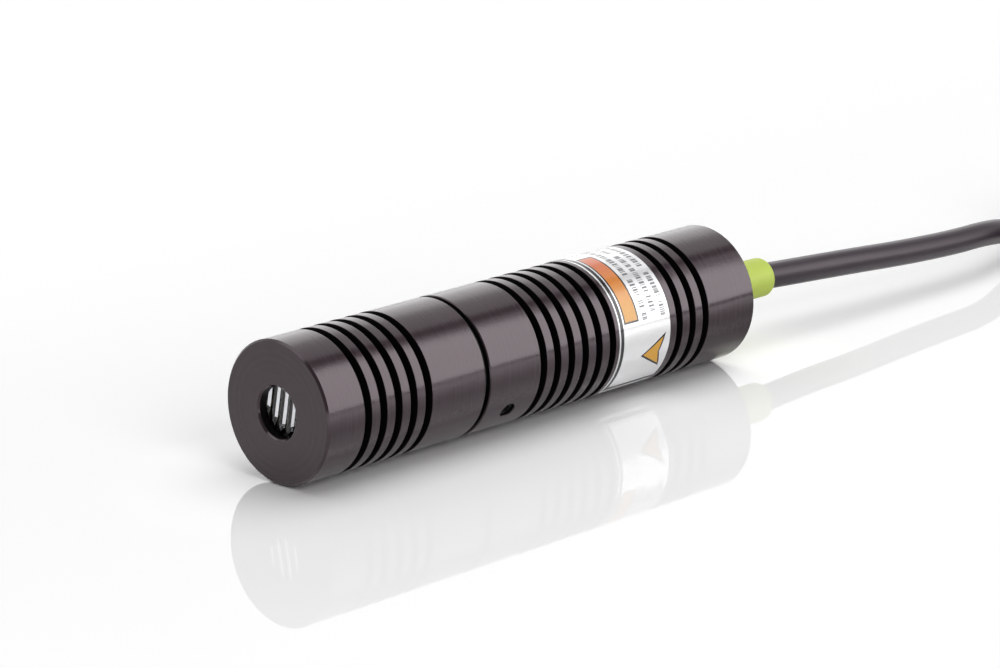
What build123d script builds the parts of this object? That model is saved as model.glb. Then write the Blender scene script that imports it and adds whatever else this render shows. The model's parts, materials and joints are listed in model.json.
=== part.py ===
from build123d import *
import math
import os

# A line laser module: a turned barrel in two pieces, lying on its side with its lead. The front
# piece holds the optics, and the rear one the laser diode and its driver board.
# Sizes are in millimetres and degrees. The barrel's axis is Y and the beam leaves towards -Y.
# The origin is the centre of the aperture on the front face, and +Z is up.

# Barrel, in two pieces with a seal ring in the joint
barrel_d = 20.0
head_len = 29.3
joint_gap = 0.85
body_len = 54.85
rim_chamfer = 0.3
joint_chamfer = 0.15

# Ring grooves: the first of each group is placed from the nearest end of its barrel piece
groove_w = 1.3
groove_depth = 1.35
groove_pitch = 2.8
head_groove_start = 6.6
head_groove_count = 5
mid_groove_offset = 9.85
mid_groove_count = 6
rear_groove_offset = 17.0
rear_groove_count = 3

# Fits, as the radial play between turned pieces, and the gap under what is soldered or laid
slide_fit = 0.02
thread_fit = 0.03
lay_gap = 0.01

# Main barrel: its wall, which sets the socket and the rear bore, and the web between them
barrel_wall = 2.5
socket_play = 0.85
web_thick = 2.5
web_step = 3.0

# Front barrel: each bore is set by the wall or step around it, and the aperture by its own size
aperture_d = 7.2
aperture_chamfer = 0.25
front_wall = 1.4
pocket_wall = 4.0
pocket_depth = 10.0
tunnel_step = 1.4
spigot_wall = 2.0
cell_bore_depth = 10.3
spigot_len = 10.5

# Seal ring in the joint
seal_inset = 0.8

# Grub screw in the side of the main barrel
screw_d = 2.5
screw_offset = 5.0
screw_angle = -34.0
screw_sink = 0.5
hex_flats = 1.3
hex_depth = 1.0

# Line lens with cylinder flutes, its gasket and its ring
lens_thick = 3.0
flute_pitch = 1.58
flute_depth = 0.4
flute_lean = 10.0
gasket_w = 1.3
gasket_thick = 1.0
ring_w = 1.8
ring_thick = 2.0
slot_w = 1.2
slot_depth = 0.8

# Collimator: lens, cell, ring and spring
cell_len = 6.5
cell_play = 2.15
collimator_share = 0.58
collimator_thick = 2.8
collimator_edge = 1.2
collimator_rim = 0.5
cell_rear_wall = 2.2
cell_seat_step = 0.6
collimator_ring_thick = 1.2
spring_wire_d = 0.6
spring_turns = 2
spring_play = 0.6

# Laser diode in its holder
holder_len = 9.0
cone_step = 0.3
cone_depth = 1.45
can_d = 3.55
can_height = 2.3
can_setback = 0.45
flange_d = 5.6
flange_thick = 1.2
clamp_thread_d = 6.5
clamp_thick = 2.0
clamp_bore_d = 3.8
lead_d = 0.45
lead_circle_d = 2.54
lead_lap = 1.85

# Driver board and the tube around it
board_len = 24.0
board_thick = 0.8
board_gap = 1.0
board_corner = 0.8
tube_wall = 0.25
tube_len = 26.5

# Rear plug, its seal and the lead's strain relief
plug_len = 5.5
plug_recess = 0.5
plug_groove_w = 1.2
plug_groove_depth = 0.9
plug_groove_offset = 2.2
spanner_hole_d = 1.5
spanner_hole_depth = 2.0
sleeve_d = 5.9
sleeve_reach = 13.2
sleeve_round = 0.75
sleeve_flange_d = 8.4
sleeve_flange_thick = 1.2
jacket_d = 4.0
jacket_setback = 0.4
wire_d = 1.1
wire_spacing = 1.8
wire_len = 3.4

# Foil label around the land between the rear two groove groups
label_offset = 25.85
label_w = 10.6
label_thick = 0.06
label_from = -54.0
label_to = 180.0

# Places that follow from the sizes above
barrel_r = barrel_d / 2
floor_z = -barrel_r
bore_d = barrel_d - 2 * barrel_wall
web_bore_d = bore_d - 2 * web_step
cone_d = web_bore_d - 2 * cone_step
pocket_d = barrel_d - 2 * pocket_wall
tunnel_d = pocket_d - 2 * tunnel_step
cell_bore_d = bore_d - 2 * spigot_wall
spring_d = cell_bore_d - 2 * spring_play
collimator_d = cell_bore_d * collimator_share
collimator_clear_d = collimator_d - 2 * collimator_rim
cell_rear_d = collimator_d - 2 * cell_seat_step
spanner_circle_d = (sleeve_d + bore_d) / 2
body_front = head_len + joint_gap
barrel_end = body_front + body_len
spigot_end = head_len + spigot_len
spigot_d = bore_d - 2 * slide_fit
socket_end = spigot_end + socket_play
holder_seat = socket_end + web_thick
holder_end = holder_seat + holder_len
cell_end = socket_end - cell_play
cell_start = cell_end - cell_len
screw_y = body_front + screw_offset
lens_back = front_wall + lens_thick
gasket_back = lens_back + gasket_thick
flange_front = holder_seat + can_setback + can_height
flange_back = flange_front + flange_thick
board_front = holder_end + board_gap
board_back = board_front + board_len
board_top = -lead_d / 2 - lay_gap
plug_back = barrel_end - plug_recess
plug_front = plug_back - plug_len
sleeve_end = barrel_end + sleeve_reach
flange_inner = plug_front - sleeve_flange_thick
jacket_inner = flange_inner - jacket_setback

# Free stretch of the lead, by hand: out of the sleeve, down to the floor and up to the hank
cable_route = [
    (0.0, sleeve_end, 0.0),
    (0.0, sleeve_end + 9.3, 0.0),
    (0.7, sleeve_end + 20.3, -1.6),
    (1.0, sleeve_end + 32.3, -2.5),
    (1.2, sleeve_end + 44.8, -3.2),
    (0.9, sleeve_end + 54.3, -3.9),
    (-0.9, sleeve_end + 62.8, -5.2),
    (-3.2, sleeve_end + 70.0, -6.5),
]

# Hank of the rest of the lead, folded in line with the barrel and tied at its waist: two layers of
# two strands side by side, and one strand on top that lies between them
lead_length = 1000.0
strand_pitch = 4.1
fold_r = 12.0
hank_layers = 2
hank_offset = 111.7
hank_half_run = 24.9
eye_tip = (0.4, 3.0)
tie_w = 2.6
tie_thick = 1.0
tie_corner = 1.5
tie_head = (5.0, 4.6, 4.0)
top_end_turn = 110.0
top_start = 6.0
core_d = 1.3
core_gap = 1.3
core_past = 12.0
ferrule_d = 1.1
ferrule_len = 6.0
collar_d = 2.4
collar_len = 3.0
lane_r = fold_r + strand_pitch / 2
hank_x = lane_r + strand_pitch - barrel_r
hank_y = sleeve_end + hank_offset
layers_top = floor_z + hank_layers * strand_pitch
hank_top = layers_top + strand_pitch * math.sqrt(0.75)


def turned(outline):
    """A piece turned about the barrel's axis, from an outline of (radius, y) points."""
    return revolve(make_face(Polyline(*outline, close=True)), Axis.Y)


def ring(inner_d, outer_d, start, end):
    """A plain turned ring from y = start to y = end, or a disc where the inner diameter is 0."""
    width = (outer_d - inner_d) / 2
    section = Pos((inner_d + outer_d) / 4, (start + end) / 2) * Rectangle(width, end - start)
    return revolve(section, Axis.Y)


def rod(diameter, x, z, start, end):
    """A round rod along Y from y = start to y = end."""
    lying = Pos(x, (start + end) / 2, z) * Rot(X=90)
    return lying * Cylinder(diameter / 2, end - start)


def spanner_slot(outer_d, face, depth):
    """A slot across a turned ring's face, for a pin spanner; depth is positive towards +Y."""
    return Pos(0, face + depth / 2, 0) * Box(outer_d + 1, abs(depth), slot_w)


def grooves(start, count):
    """The ring grooves of one group, as the rings to cut away."""
    bottom_d = barrel_d - 2 * groove_depth
    places = [start + i * groove_pitch for i in range(count)]
    return [ring(bottom_d, barrel_d + 1, y, y + groove_w) for y in places]


def along_screw(radius, inner, outer):
    """A round rod along the grub screw's axis, between two distances from the barrel's axis."""
    return screw_plane() * Pos(0, 0, (inner + outer) / 2) * Cylinder(radius, outer - inner)


def screw_plane():
    """The plane through the barrel's axis whose normal is the grub screw's axis."""
    t = math.radians(screw_angle)
    return Plane(origin=(0, screw_y, 0), x_dir=(0, 1, 0), z_dir=(math.cos(t), 0, math.sin(t)))


def front_barrel():
    """Head: front wall with the aperture, lens pocket, light tunnel, thread bore and spigot."""
    outline = [
        (aperture_d / 2 + aperture_chamfer, 0),
        (barrel_r - rim_chamfer, 0),
        (barrel_r, rim_chamfer),
        (barrel_r, head_len - joint_chamfer),
        (barrel_r - joint_chamfer, head_len),
        (spigot_d / 2, head_len),
        (spigot_d / 2, spigot_end),
        (cell_bore_d / 2, spigot_end),
        (cell_bore_d / 2, spigot_end - cell_bore_depth),
        (tunnel_d / 2, spigot_end - cell_bore_depth),
        (tunnel_d / 2, front_wall + pocket_depth),
        (pocket_d / 2, front_wall + pocket_depth),
        (pocket_d / 2, front_wall),
        (aperture_d / 2, front_wall),
        (aperture_d / 2, aperture_chamfer),
    ]
    return turned(outline) - grooves(head_groove_start, head_groove_count)


def main_barrel():
    """Body: socket for the spigot, web with the light hole, and the chamber behind it.

    It is turned from its far side, so the seam of its round faces stays clear of the screw's hole.
    """
    outline = [
        (bore_d / 2, body_front),
        (barrel_r - joint_chamfer, body_front),
        (barrel_r, body_front + joint_chamfer),
        (barrel_r, barrel_end - rim_chamfer),
        (barrel_r - rim_chamfer, barrel_end),
        (bore_d / 2, barrel_end),
        (bore_d / 2, holder_seat),
        (web_bore_d / 2, holder_seat),
        (web_bore_d / 2, socket_end),
        (bore_d / 2, socket_end),
    ]
    body = Rot(Y=180) * turned(outline)
    body -= grooves(body_front + mid_groove_offset, mid_groove_count)
    body -= grooves(barrel_end - rear_groove_offset, rear_groove_count)
    return body - along_screw(screw_d / 2, bore_d / 2 - 1, barrel_r + 1)


def joint_seal():
    """Flat ring between the head's shoulder and the main barrel, a little below their surface."""
    return ring(bore_d, barrel_d - 2 * seal_inset, head_len, body_front)


def grub_screw():
    """Headless screw with a hexagon socket, its flat end on the spigot."""
    inner = spigot_d / 2 + slide_fit
    outer = barrel_r - screw_sink
    screw = along_screw(screw_d / 2 - thread_fit, inner, outer)
    socket = extrude(RegularPolygon(hex_flats / 2, 6, major_radius=False), hex_depth)
    return screw - screw_plane() * Pos(0, 0, outer - hex_depth) * socket


def line_lens():
    """Round clear plate whose front is a row of cylinder flutes that lean a little."""
    count = 2 * math.ceil(pocket_d / 2 / flute_pitch)
    left = -count * flute_pitch / 2
    crest = front_wall
    valley = front_wall + flute_depth
    flutes = [
        ThreePointArc(
            (left + i * flute_pitch, valley),
            (left + (i + 0.5) * flute_pitch, crest),
            (left + (i + 1) * flute_pitch, valley),
        )
        for i in range(count)
    ]
    back = Polyline((left, valley), (left, lens_back), (-left, lens_back), (-left, valley))
    plate = extrude(make_face(Curve() + flutes + back), pocket_d, both=True)
    disc = ring(0, pocket_d - 2 * slide_fit, crest, lens_back)
    return Rot(Y=flute_lean) * plate & disc


def lens_gasket():
    """Soft ring between the line lens and its retaining ring."""
    outer_d = pocket_d - 2 * slide_fit
    return ring(outer_d - 2 * gasket_w, outer_d, lens_back, gasket_back)


def lens_retaining_ring():
    """Threaded ring with two spanner slots that presses the line lens forward."""
    outer_d = pocket_d - 2 * thread_fit
    back = gasket_back + ring_thick
    return ring(outer_d - 2 * ring_w, outer_d, gasket_back, back) - spanner_slot(outer_d, back, -slot_depth)


def collimator_cell():
    """Threaded brass cell, open to the front for the lens, with a narrower hole behind it."""
    seat = cell_end - cell_rear_wall
    outer_d = cell_bore_d - 2 * thread_fit
    body = ring(cell_rear_d, outer_d, cell_start, cell_end)
    body -= ring(0, collimator_d + 2 * slide_fit, cell_start - 1, seat)
    return body - spanner_slot(outer_d, cell_start, slot_depth)


def collimator_lens():
    """Lens with a flat rim and a domed front, its flat back on the cell's seat."""
    back = cell_end - cell_rear_wall
    rim = back - collimator_edge
    dome = ThreePointArc(
        (-collimator_clear_d / 2, rim),
        (0, back - collimator_thick),
        (collimator_clear_d / 2, rim),
    )
    front = make_face(Curve() + [dome, Line(dome @ 1, dome @ 0)])
    half = front & Pos(collimator_d / 2, rim) * Rectangle(collimator_d, 2 * collimator_thick)
    return ring(0, collimator_d, rim, back) + revolve(half, Axis.Y)


def collimator_ring():
    """Ring that holds the collimator lens by its flat rim."""
    back = cell_end - cell_rear_wall - collimator_edge
    return ring(collimator_clear_d, collimator_d, back - collimator_ring_thick, back)


def focus_spring():
    """Short spring between the cell and the main barrel's web."""
    rise = cell_play - spring_wire_d - 2 * lay_gap
    start = cell_end + spring_wire_d / 2 + lay_gap
    coil = Helix(rise / spring_turns, rise, spring_d / 2)
    section = (coil ^ 0) * Circle(spring_wire_d / 2)
    return Pos(0, start, 0) * Rot(X=-90) * sweep(section, path=coil, is_frenet=True)


def diode_holder():
    """Brass heat sink: light cone, seat for the can's flange and thread for the clamp ring."""
    outline = [
        (cone_d / 2, holder_seat),
        (bore_d / 2 - slide_fit, holder_seat),
        (bore_d / 2 - slide_fit, holder_end),
        (clamp_thread_d / 2, holder_end),
        (clamp_thread_d / 2, flange_back),
        (flange_d / 2 + slide_fit, flange_back),
        (flange_d / 2 + slide_fit, flange_front),
        (can_d / 2 + slide_fit, flange_front),
        (can_d / 2 + slide_fit, holder_seat + cone_depth),
    ]
    return turned(outline)


def laser_diode():
    """Sealed can on its flange."""
    return ring(0, can_d, flange_front - can_height, flange_front) + ring(
        0, flange_d, flange_front, flange_back
    )


def diode_leads():
    """Three leads: two lie on the board's top face and one under its bottom face."""
    r = lead_circle_d / 2
    under = board_top - board_thick - lay_gap - lead_d / 2
    places = [(r, 0), (-r, 0), (0, under)]
    end = board_front + lead_lap
    return [rod(lead_d, x, z, flange_back, end) for x, z in places]


def diode_clamp_ring():
    """Threaded ring behind the flange, with two spanner slots."""
    outer_d = clamp_thread_d - 2 * thread_fit
    back = flange_back + clamp_thick
    ring_body = ring(clamp_bore_d, outer_d, flange_back, back)
    return ring_body - spanner_slot(outer_d, back, -slot_depth)


def insulating_sleeve():
    """Thin plastic tube that keeps the board off the barrel."""
    outer_d = bore_d - 2 * slide_fit
    return ring(outer_d - 2 * tube_wall, outer_d, holder_end, holder_end + tube_len)


def board_half_width():
    """Half the board's width, so that its lower edges just fit into the tube."""
    tube_r = bore_d / 2 - slide_fit - tube_wall
    lowest = abs(board_top - board_thick)
    return math.sqrt(tube_r**2 - lowest**2) - slide_fit


def on_board(x, y, height=0.0):
    """A place on the board's top face: x across, y behind its front edge."""
    return Pos(x, board_front + y, board_top + height)


def driver_board():
    """Circuit board with rounded corners, held by its edges in the tube."""
    middle = Pos(0, (board_front + board_back) / 2, board_top - board_thick)
    return extrude(middle * RectangleRounded(2 * board_half_width(), board_len, board_corner), board_thick)


def across(share):
    """A distance across the board, as a share of its half width."""
    return share * board_half_width()


chip_at = (0.0, 6.9)
chip_body = (3.0, 3.0, 0.95)
chip_foot = 0.95
chip_lift = 0.1
lead_pitch = 0.65
lead_strip = 0.15
lead_strip_w = 0.3
transistor_at = (across(-0.77), 6.0)
transistor_body = (2.5, 4.5, 1.5)
transistor_foot = (0.42, 0.6, 0.4)
transistor_pitch = 0.8
trimmer_at = (across(-0.5), 15.0)
trimmer_body = (3.2, 3.2, 1.4)
trimmer_rotor_d = 2.2
trimmer_rotor_thick = 0.5
trimmer_slot = 0.45
tantalum_at = (across(0.48), 15.0)
tantalum_body = (2.8, 3.5, 1.9)
ceramic_places = [(across(0.7), y) for y in (3.9, 7.2, 10.5)]
ceramic_body = (1.25, 2.0, 0.9)
resistor_places = [(-2.7, 11.5), (-0.9, 11.5), (0.9, 11.5), (2.7, 11.5), (0.0, 14.6)]
resistor_body = (0.8, 1.6, 0.45)
guard_diode_at = (0.0, 18.4)
guard_diode_body = (4.3, 2.6, 2.1)


def block(place, size, lift=0.0, edge=0.0):
    """A moulded block on the board, with its upright edges and top bevelled by edge."""
    x, y = place
    body = on_board(x, y, lift + size[2] / 2) * Box(*size)
    return chamfer(body.edges().group_by(Axis.Z)[-1], edge) if edge else body


def driver_chip():
    """Moulded body of the driver chip, on its leads."""
    return block(chip_at, chip_body, chip_lift, 0.15)


def driver_chip_leads():
    """Eight gull-wing leads, four on each side."""
    half = chip_body[0] / 2
    knee = half + chip_foot / 2
    toe = half + chip_foot
    shoulder = chip_lift + chip_body[2] / 2
    strip = Polyline(
        (half, shoulder),
        (knee, shoulder),
        (knee, lead_strip),
        (toe, lead_strip),
        (toe, 0),
        (knee - lead_strip, 0),
        (knee - lead_strip, shoulder - lead_strip),
        (half, shoulder - lead_strip),
        close=True,
    )
    lead = extrude(Plane.XZ * make_face(strip), lead_strip_w / 2, both=True)
    x, y = chip_at
    places = [y + (i - 1.5) * lead_pitch for i in range(4)]
    right = [on_board(x, place) * lead for place in places]
    left = [on_board(x, place) * Rot(Z=180) * lead for place in places]
    return right + left


def power_transistor():
    """Moulded body of the transistor that drives the diode."""
    return block(transistor_at, transistor_body, 0, 0.25)


def power_transistor_leads():
    """Three short feet on the transistor's rear side."""
    x, y = transistor_at
    foot_y = y + transistor_body[1] / 2 + transistor_foot[1] / 2
    return [block((x + i * transistor_pitch, foot_y), transistor_foot) for i in (-1, 0, 1)]


def trimmer():
    """Body of the trimmer that sets the diode's current."""
    return block(trimmer_at, trimmer_body)


def trimmer_rotor():
    """Slotted rotor on top of the trimmer."""
    x, y = trimmer_at
    top = trimmer_body[2] + trimmer_rotor_thick / 2
    disc = on_board(x, y, top) * Cylinder(trimmer_rotor_d / 2, trimmer_rotor_thick)
    slot = on_board(x, y, top + trimmer_rotor_thick / 2)
    return disc - slot * Box(trimmer_rotor_d, trimmer_slot, trimmer_rotor_thick)


def tantalum_capacitor():
    """Moulded capacitor at the supply end."""
    return block(tantalum_at, tantalum_body, 0, 0.2)


def ceramic_capacitors():
    """Ceramic capacitors beside the driver chip."""
    return [block(place, ceramic_body) for place in ceramic_places]


def chip_resistors():
    """Chip resistors behind the driver chip."""
    return [block(place, resistor_body) for place in resistor_places]


def protection_diode():
    """Diode that guards against a supply connected the wrong way round."""
    return block(guard_diode_at, guard_diode_body, 0, 0.3)


def supply_wire(side):
    """One insulated wire from the lead's jacket to its pad; side is -1 or 1."""
    z = board_top + wire_d / 2 + lay_gap
    return rod(wire_d, side * wire_spacing / 2, z, jacket_inner - wire_len, jacket_inner)


def cable_inner():
    """The lead inside the module and its sleeve."""
    return rod(jacket_d, 0, 0, jacket_inner, sleeve_end)


def rear_plug():
    """Plug pressed into the rear bore, with the sleeve's hole, a seal groove and spanner holes."""
    outer_d = bore_d - 2 * slide_fit
    body = ring(sleeve_d + 2 * slide_fit, outer_d, plug_front, plug_back)
    groove_start = plug_front + plug_groove_offset
    groove_d = bore_d - 2 * plug_groove_depth
    body -= ring(groove_d, bore_d + 1, groove_start, groove_start + plug_groove_w)
    for side in (-1, 1):
        x = side * spanner_circle_d / 2
        body -= rod(spanner_hole_d, x, 0, plug_back - spanner_hole_depth, plug_back + 1)
    return body


def plug_o_ring():
    """Round rubber ring in the plug's groove."""
    section_r = plug_groove_depth / 2 - slide_fit / 2
    middle = plug_front + plug_groove_offset + plug_groove_w / 2
    centre_r = bore_d / 2 - plug_groove_depth / 2
    return revolve(Pos(centre_r, middle) * Circle(section_r), Axis.Y)


def strain_relief_sleeve():
    """Soft sleeve around the lead, with a flange inside the plug and a rounded outer end."""
    inner_d = jacket_d + 2 * slide_fit
    tube = ring(inner_d, sleeve_d, flange_inner, sleeve_end)
    outer_edge = tube.edges().group_by(Axis.Y)[-1].sort_by(SortBy.RADIUS)[-1]
    tube = fillet(outer_edge, sleeve_round)
    return tube + ring(inner_d, sleeve_flange_d, flange_inner, plug_front)


def label():
    """Foil label, wrapped part of the way round the land."""
    start = body_front + label_offset
    section = Pos(barrel_r + label_thick / 2, start + label_w / 2) * Rectangle(label_thick, label_w)
    wrapped = revolve(section, Axis.Y, label_to - label_from)
    return Rot(Y=-label_to) * wrapped


def route_radii(points, share=0.45):
    """A bend radius for each inner point of a route, as large as its two runs allow."""
    spots = [Vector(*p) for p in points]
    radii = []
    for before, here, after in zip(spots, spots[1:], spots[2:]):
        shorter = min((here - before).length, (after - here).length)
        turn = math.radians((here - before).get_angle(after - here))
        radii.append(share * shorter / math.tan(turn / 2))
    return radii


def cable():
    """Free stretch of the lead, as a tube of straight runs and tangent arcs."""
    path = FilletPolyline(*cable_route, radius=route_radii(cable_route))
    return sweep((path ^ 0) * Circle(jacket_d / 2), path=path), path


def lane_face(margin):
    """The face inside a waisted outline that runs margin outside the middle lane of the strands."""
    loop = lane_r + margin
    waist = strand_pitch + margin
    run = hank_half_run
    sides = [
        Spline((side * loop, -run), (side * waist, 0), (side * loop, run), tangents=[(0, 1), (0, 1)])
        for side in (1, -1)
    ]
    far = ThreePointArc((loop, run), (0, run + loop), (-loop, run))
    near = ThreePointArc((-loop, -run), (0, -run - loop), (loop, -run))
    return make_face(Curve() + [sides[0], far, sides[1], near])


def eye_face():
    """The open eye of the far loop, which narrows towards the waist."""
    eye = lane_r - strand_pitch
    run = hank_half_run
    tip_x, tip_y = eye_tip
    bow = ThreePointArc((eye, run), (0, run + eye), (-eye, run))
    flanks = [
        Spline((side * eye, run), (side * eye / 2, run / 2), (side * tip_x, tip_y), tangents=[(0, -1), (0, -1)])
        for side in (1, -1)
    ]
    return make_face(Curve() + [bow, flanks[0], flanks[1], Line((tip_x, tip_y), (-tip_x, tip_y))])


def on_hank(height=0.0):
    """The middle of the hank, at a height."""
    return Pos(hank_x, hank_y, height)


def top_strand():
    """The strand on top, from just past the tie round the near loop to its end on the far loop."""
    band = lane_face(strand_pitch / 2) - lane_face(-strand_pitch / 2)
    turn = math.radians(top_end_turn)
    far = Polyline((0, 0), (50, 0), (50, 50), (50 * math.cos(turn), 50 * math.sin(turn)), close=True)
    band -= Pos(0, hank_half_run) * make_face(far)
    width = 2 * (lane_r + strand_pitch)
    length = hank_half_run + top_start
    band -= Pos(width / 2, hank_half_run - length / 2) * Rectangle(width, length)
    return extrude(on_hank(layers_top) * band, hank_top - layers_top)


def tie_hole():
    """The section that the tie encloses: the two layers of strands and the top strand on one side."""
    half = 2 * strand_pitch
    top = hank_top - layers_top
    corners = [
        (-half, tie_thick - hank_layers * strand_pitch),
        (half, tie_thick - hank_layers * strand_pitch),
        (half, 0),
        (-strand_pitch / 2, top),
        (-strand_pitch * 1.5, top),
        (-half, 0),
    ]
    section = make_face(Polyline(*corners, close=True))
    return fillet(section.vertices(), tie_corner)


def tie_frame():
    """The upright plane across the hank's waist, at the height of the two layers' top."""
    return Plane(origin=(hank_x, hank_y, layers_top), x_dir=(1, 0, 0), z_dir=(0, -1, 0))


def hank_tie():
    """Nylon tie round the waist, with its head on the top strand."""
    band = offset(tie_hole(), tie_thick) - tie_hole()
    tie = extrude(tie_frame() * band, tie_w / 2, both=True)
    head = Pos(hank_x - strand_pitch, hank_y, hank_top + tie_head[2] / 2) * Box(*tie_head)
    return tie + fillet(head.edges().group_by(Axis.Z)[-1], 0.6)


def cable_hank():
    """The bundle with its two open eyes, its waist under the tie and the entry of the lead."""
    flat = lane_face(strand_pitch) - [eye_face(), Rot(Z=180) * eye_face()]
    body = extrude(on_hank(floor_z) * flat, hank_layers * strand_pitch) + top_strand()
    slab = on_hank() * Box(8 * strand_pitch, tie_w, 8 * strand_pitch)
    body -= slab - extrude(tie_frame() * tie_hole(), tie_w, both=True)
    last, before = Vector(*cable_route[-1]), Vector(*cable_route[-2])
    entry = Plane(origin=last, z_dir=last - before)
    stub = extrude(entry * Circle(jacket_d / 2), 2 * jacket_d)
    above_floor = Pos(0, 0, floor_z + lead_length) * Box(*[2 * lead_length] * 3)
    return body + (stub & above_floor)


def core_places(side):
    """Radius and height of one core's arc round the far loop; side is -1 or 1."""
    radius = lane_r + side * (core_d + core_gap) / 2
    return radius, layers_top + collar_d / 2 + lay_gap


def core(side):
    """One insulated core of the far end, from the jacket's end round the far loop."""
    radius, height = core_places(side)
    arc = CenterArc((0, 0, 0), radius, top_end_turn, -top_end_turn - core_past)
    place = on_hank(height) * Pos(0, hank_half_run, 0)
    return place * sweep((arc ^ 0) * Circle(core_d / 2), path=arc)


def core_ferrule(side):
    """Crimped ferrule with its plastic collar, in line with the end of one core."""
    radius, height = core_places(side)
    collar = rod(collar_d, 0, 0, -collar_len, 0)
    tip = rod(ferrule_d, 0, 0, -collar_len - ferrule_len, -collar_len)
    place = on_hank(height) * Pos(0, hank_half_run, 0) * Rot(Z=-core_past) * Pos(radius, 0, 0)
    return place * (collar + tip)


parts = {
    "front_barrel": front_barrel(),
    "joint_seal": joint_seal(),
    "main_barrel": main_barrel(),
    "grub_screw": grub_screw(),
    "line_lens": line_lens(),
    "lens_gasket": lens_gasket(),
    "lens_retaining_ring": lens_retaining_ring(),
    "collimator_cell": collimator_cell(),
    "collimator_lens": collimator_lens(),
    "collimator_ring": collimator_ring(),
    "focus_spring": focus_spring(),
    "diode_holder": diode_holder(),
    "laser_diode": laser_diode(),
    "diode_leads": diode_leads(),
    "diode_clamp_ring": diode_clamp_ring(),
    "insulating_sleeve": insulating_sleeve(),
    "driver_board": driver_board(),
    "driver_chip": driver_chip(),
    "driver_chip_leads": driver_chip_leads(),
    "power_transistor": power_transistor(),
    "power_transistor_leads": power_transistor_leads(),
    "trimmer": trimmer(),
    "trimmer_rotor": trimmer_rotor(),
    "tantalum_capacitor": tantalum_capacitor(),
    "ceramic_capacitors": ceramic_capacitors(),
    "chip_resistors": chip_resistors(),
    "protection_diode": protection_diode(),
    "supply_wire_positive": supply_wire(1),
    "supply_wire_negative": supply_wire(-1),
    "cable_inner": cable_inner(),
    "rear_plug": rear_plug(),
    "plug_o_ring": plug_o_ring(),
    "strain_relief_sleeve": strain_relief_sleeve(),
    "label": label(),
    "cable_hank": cable_hank(),
    "hank_tie": hank_tie(),
    "core_positive": core(1),
    "core_negative": core(-1),
    "core_ferrules": [core_ferrule(1), core_ferrule(-1)],
}
parts["cable"], cable_path = cable()

os.makedirs("parts", exist_ok=True)
for name, shape in parts.items():
    solid = Compound(children=list(shape)) if isinstance(shape, (list, ShapeList)) else shape
    export_step(solid, f"parts/{name}.step")

print("bend radii of the lead:", [round(r, 1) for r in route_radii(cable_route)])
section = math.pi * jacket_d**2 / 4
free = cable_path.length
stripped = math.radians(top_end_turn + core_past) * lane_r + collar_len + ferrule_len
print("free stretch:", round(free, 2), "volume over section:", round(parts["cable"].volume / section, 2))
print("in the hank:", round(lead_length - sleeve_reach - free - stripped, 1), "and stripped:", round(stripped, 1))
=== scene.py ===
# %% [markdown]
# # A line laser module and its lead
# The real object is a slim black barrel, turned in two pieces, with a fluted lens behind its
# aperture, a foil label, and a round lead that leaves through a soft green sleeve. The script loads
# the solids as a fixed frame, and then gives each visible piece its surface and its finish.

# %% The solids
import json
import math
import bpy
import numpy as np
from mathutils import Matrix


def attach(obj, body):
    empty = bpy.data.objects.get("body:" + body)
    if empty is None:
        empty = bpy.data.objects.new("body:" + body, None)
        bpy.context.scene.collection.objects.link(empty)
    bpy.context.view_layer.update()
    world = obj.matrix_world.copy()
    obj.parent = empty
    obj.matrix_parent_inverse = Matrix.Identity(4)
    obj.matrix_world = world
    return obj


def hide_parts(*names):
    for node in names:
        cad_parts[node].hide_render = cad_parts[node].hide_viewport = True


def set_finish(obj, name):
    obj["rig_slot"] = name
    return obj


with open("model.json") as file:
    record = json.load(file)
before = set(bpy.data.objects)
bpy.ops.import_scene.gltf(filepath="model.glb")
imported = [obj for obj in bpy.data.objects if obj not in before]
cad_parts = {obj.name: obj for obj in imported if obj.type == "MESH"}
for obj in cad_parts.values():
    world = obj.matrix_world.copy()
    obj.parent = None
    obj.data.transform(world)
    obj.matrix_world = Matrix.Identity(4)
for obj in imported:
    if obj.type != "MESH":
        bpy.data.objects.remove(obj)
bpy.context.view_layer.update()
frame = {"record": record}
slot_of = {part["node"]: part["material_slot"] for part in frame["record"]["subparts"]}
MM = 0.001

# %% [markdown]
# The camera stands in front of the module, to its right and a little above it. It could be aimed by
# eye, but the round front face and the rear rim fix it: the lens and the place below make both
# ellipses fall where they are in the picture.

# %% Camera
CAMERA_AT = (0.3612, -0.3279, 0.1502)
CAMERA_TURN = math.radians(44.304)
CAMERA_TILT = math.radians(15.966)
FOCAL_LENGTH = 138.94

lens = bpy.data.cameras.new("camera")
lens.lens = FOCAL_LENGTH
lens.sensor_width = 36.0
lens.clip_start = 0.01
camera = bpy.data.objects.new("camera", lens)
camera.location = CAMERA_AT
camera.rotation_euler = (math.pi / 2 - CAMERA_TILT, 0.0, CAMERA_TURN)
bpy.context.scene.collection.objects.link(camera)
bpy.context.scene.camera = camera
print("camera at", tuple(camera.location))

# %% [markdown]
# Every new piece is a surface worked out as whole arrays of points, so one helper turns such arrays
# into a mesh. It takes the exact direction of the surface at each point where that is known, which
# keeps a small rounded edge and the long face beside it both clean. The others work out which
# points make up the faces.

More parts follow.
